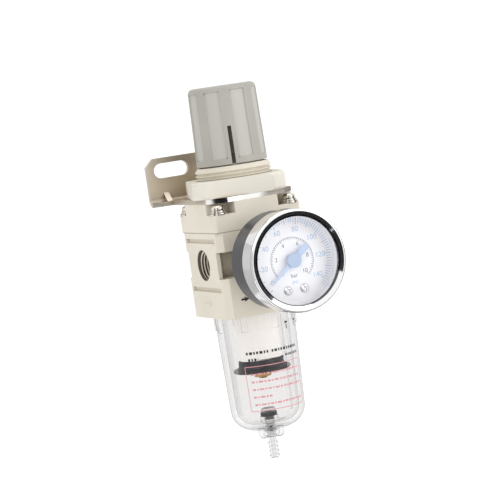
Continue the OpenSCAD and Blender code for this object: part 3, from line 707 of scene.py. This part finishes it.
def on_bowl(u, v, height):
    """u is the distance round the bowl from the front, v the height."""
    share = (SHOULDER_Z - v) / (SHOULDER_Z - CORNER_Z)
    radius = SHOULDER_R + (CORNER_R - SHOULDER_R) * share + 2 * LIFT + height
    angle = u / SHOULDER_R
    return (radius * math.sin(angle), -radius * math.cos(angle), v)


# the dial's two scales
SCALE_START = 225
SCALE_SWEEP = 270
BAR_FULL = 10
PSI_FULL = 145
PSI_R = 17.9
BAR_R = 9.6


def scale_angle(value, full):
    return SCALE_START - SCALE_SWEEP * value / full


outer = Print(on_dial)
for psi in range(0, PSI_FULL + 1, 2):
    angle = scale_angle(psi, PSI_FULL)
    tick, width = (3.0, 0.32) if psi % 10 == 0 else (2.2, 0.24)
    outer.line(polar(PSI_R - tick, angle), polar(PSI_R, angle), width)
for psi in range(0, PSI_FULL, 20):
    # zero stands beside the needle's tip
    angle = scale_angle(psi, PSI_FULL) - (7 if psi == 0 else 0)
    outer.words(str(psi), 3.1, polar(12.9, angle))
outer.words("psi", 2.5, (0, -8.9))
outer.piece("dial_scale_outer", "ink_blue", "root")

inner = Print(on_dial)
inner.ring(BAR_R, 0.14, SCALE_START, SCALE_START - SCALE_SWEEP, 90)
for fifth in range(5 * BAR_FULL + 1):
    angle = scale_angle(fifth / 5, BAR_FULL)
    tick = 1.1 if fifth % 5 == 0 else 0.8
    inner.line(polar(BAR_R - tick, angle), polar(BAR_R, angle), 0.2)
for bar in range(0, BAR_FULL + 1, 2):
    inner.words(str(bar), 2.5, polar(7.2, scale_angle(bar, BAR_FULL)))
inner.words("bar", 2.5, (0, -6.4))
inner.piece("dial_scale_inner", "ink_grey", "root")

flow = Print(on_front)
flow.arrow(tail=-13.2, tip=-9.4, v=-15.3, shaft=0.8, head=2.2)
flow.piece("body_arrow", "ink_black", "root")

side_mark = Print(on_left, 0.05)
side_mark.arrow(tail=-5.2, tip=4.2, v=-16.4, shaft=0.9, head=3.6)
side_mark.piece("body_side_arrow", "moulded_mark", "root")

# two rows of black bars, one of them with a line in its middle
FIRST_ROW = -39.4
SECOND_ROW = -42.3
rows = Print(on_bowl)
rows.dashes(-13.2, -3.2, FIRST_ROW, 1.15, [0.9, 1.4, 0.7])
rows.dashes(-1.6, 13.0, FIRST_ROW, 1.15, [0.8, 1.3, 0.6])
rows.dashes(-12.6, -8.0, SECOND_ROW, 1.15, [1.0, 0.7])
rows.line((-7.6, SECOND_ROW - 0.4), (4.2, SECOND_ROW - 0.4), 0.3, 8)
rows.dashes(5.0, 13.6, SECOND_ROW, 1.0, [0.9, 0.6])
# two plain level marks near the shoulder
for u in (7.7, 14.6):
    rows.line((u - 0.9, -28.6), (u + 0.9, -28.6), 0.8, 2)
    rows.line((u, -31.4), (u, -29.4), 0.5)
rows.piece("bowl_print_black", "ink_black", "bowl")

# framed panel of red bars, the fourth row shorter
LEFT, RIGHT, TOP, BOTTOM = -14.7, 14.0, -45.2, -64.5
panel = Print(on_bowl)
for v in (TOP, BOTTOM):
    panel.line((LEFT, v), (RIGHT, v), 0.3, 24)
for u in (LEFT, RIGHT):
    panel.line((u, TOP), (u, BOTTOM), 0.3, 6)
for row in range(5):
    stop = -4 if row == 3 else RIGHT - 1.2
    panel.dashes(LEFT + 2.2, stop, TOP - 3.4 - 3.3 * row, 0.75, [1.4, 0.7, 2.1, 0.9])
panel.piece("bowl_print_red", "ink_red", "bowl")


# ---------- springs and diaphragm ------------------------------------------------

def coil(name, node, wire_r, turns, steps=40, sides=12):
    """A round-wire spring that fills the node's box."""
    low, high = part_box(node)
    rise = high.z - low.z - 2 * wire_r
    sections = []
    for i in range(turns * steps + 1):
        turn = 2 * math.pi * i / steps
        section = []
        for k in range(sides):
            around = 2 * math.pi * k / sides
            r = high.x - wire_r + wire_r * math.cos(around)
            z = low.z + wire_r + rise * i / (turns * steps) + wire_r * math.sin(around)
            section.append((r * math.cos(turn), r * math.sin(turn), z))
        sections.append(section)
    mesh = swept(name, sections)
    smooth(mesh, 60)
    piece = new_piece(name, mesh, "steel", "root")
    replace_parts(piece, node)
    return piece


for name, node, wire_r, turns, joint in (
        ("regulating_coil", "main_spring", 1.15 * MM, 7, "spring_seat_travel"),
        ("poppet_coil", "valve_spring", 0.4 * MM, 6, "valve_travel")):
    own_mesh(coil(name, node, wire_r, turns))

# the diaphragm's middle rides the plate; its fold and clamped rim stay with the body. In millimetres
RUBBER = 1.4
FOLD = 1.2
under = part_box("diaphragm")[0].z / MM
over = under + RUBBER
rim_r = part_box("diaphragm")[1].x / MM
middle = [(3.02, under), (9.8, under), (9.8, over), (3.02, over)]
rim = [(10.0, under + 0.4), (10.6, under + FOLD), (12.2, under + FOLD), (13.2, under), (rim_r, under),
       (rim_r, over), (12.9, over), (12.6, over + FOLD), (10.2, over + FOLD), (9.9, over + 0.4)]
for name, profile, body in (("diaphragm_middle", middle, "diaphragm_group"), ("diaphragm_rim", rim, "root")):
    mesh = lathe(name, [(r * MM, z * MM) for r, z in profile])
    smooth(mesh, 50)
    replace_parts(new_piece(name, mesh, "rubber", body), "diaphragm")


# ---------- stage ----------

def flat_card(name, centre, size, normal, grey, glow):
    """A rectangle of a width and height, and the look it wears."""
    x, y = size[0] / 2, size[1] / 2
    mesh = mesh_from(name, [(-x, -y, 0), (x, -y, 0), (x, y, 0), (-x, y, 0)], [(0, 1, 2, 3)])
    card = linked(name, mesh)
    card.matrix_world = Matrix.Translation(centre) @ facing(normal)
    colour = (grey, grey, grey, 1)
    look = Look()
    look.surface(Base_Color=colour, Roughness=0.9, Emission_Color=colour, Emission_Strength=glow)
    mesh.materials.append(look.material)
    return card, look


def reflected_card(name, centre, size, grey=0.01, glow=0.0):
    """A card that faces the object and is seen only in its reflections."""
    card, look = flat_card(name, centre, size, -Vector(centre), grey, glow)
    card.visible_camera = False
    card.visible_diffuse = False
    card.visible_shadow = False


def soft_light(name, place, size, power):
    """A square lamp that points at the origin."""
    light = bpy.data.lights.new(name, "AREA")
    light.size = size
    light.energy = power
    linked(name, light).matrix_world = Matrix.Translation(place) @ facing(place)


FLOOR_Z = CAD_BOUNDS[0][2] - 60 * MM
floor, floor_look = flat_card("floor", (0, 0, FLOOR_Z), (30, 30), (0, 0, 1), grey=0.2, glow=4.6)
floor.visible_glossy = False
# clear from below, so that the underside of the object can be looked at
from_below = floor_look.add("ShaderNodeNewGeometry").outputs["Backfacing"]
floor_look.show(floor_look.blend(from_below, floor_look.shader.outputs[0], floor_look.transparent()))

# dark cards round the front, low down, for the black ring on the bezel and the contrast on chrome
reflected_card("dark_front_right", (1.06, -0.55, -0.1), (0.75, 0.9))
reflected_card("dark_front_low", (0.28, -0.72, -0.66), (1.6, 0.5))
reflected_card("dark_front_left", (-0.36, -1.14, -0.15), (0.45, 0.7))
reflected_card("dark_left", (-0.9, -0.37, 0.0), (0.35, 0.8))
reflected_card("dark_behind", (0.46, 1.1, -0.09), (0.8, 0.8))
reflected_card("dark_below", (0.1, 0.1, -0.7), (0.5, 0.5))
reflected_card("grey_behind", (-0.6, 1.4, -0.1), (1.4, 1.2), grey=0.36, glow=1.0)

# a white surround that looks brighter than the light it gives
SKY_SEEN = 1.05
SKY_LIGHT = 0.62
world = bpy.data.worlds.new("studio")
world.use_nodes = True
bpy.context.scene.world = world
sky = world.node_tree.nodes["Background"]
sky.inputs["Color"].default_value = (1, 1, 1, 1)
rays = world.node_tree.nodes.new("ShaderNodeLightPath")
strength = world.node_tree.nodes.new("ShaderNodeMapRange")
strength.inputs["To Min"].default_value = SKY_SEEN
strength.inputs["To Max"].default_value = SKY_LIGHT
world.node_tree.links.new(rays.outputs["Is Diffuse Ray"], strength.inputs["Value"])
world.node_tree.links.new(strength.outputs[0], sky.inputs["Strength"])

soft_light("key", (-0.9, -0.9, 0.9), 0.8, 4)
soft_light("fill", (0.9, -1.1, 0.4), 0.9, 6)
soft_light("top", (0.1, 0.3, 1.3), 0.8, 5)

# camera: slightly above, from the front left, leaning so that the object's axis tilts to the left
AZIMUTH = math.radians(-22.6)
ELEVATION = math.radians(4.4)
LEAN = math.radians(-8.33)
DISTANCE = 0.9158
AIM = Vector((0, 0, 6.1 * MM))
FOCAL_LENGTH = 156.4
towards = Vector((math.sin(AZIMUTH) * math.cos(ELEVATION), -math.cos(AZIMUTH) * math.cos(ELEVATION),
                  math.sin(ELEVATION)))
level = Vector((math.cos(AZIMUTH), math.sin(AZIMUTH), 0))
upright = towards.cross(level)
right = math.cos(LEAN) * level + math.sin(LEAN) * upright
up = math.cos(LEAN) * upright - math.sin(LEAN) * level
lens = bpy.data.cameras.new("camera")
lens.lens = FOCAL_LENGTH
lens.sensor_width = 36
lens.clip_start = 0.05
camera = linked("camera", lens)
turned = Matrix((right, up, towards)).transposed().to_4x4()
camera.matrix_world = Matrix.Translation(AIM + towards * DISTANCE) @ turned
bpy.context.scene.camera = camera
bpy.context.scene.view_settings.view_transform = "Standard"
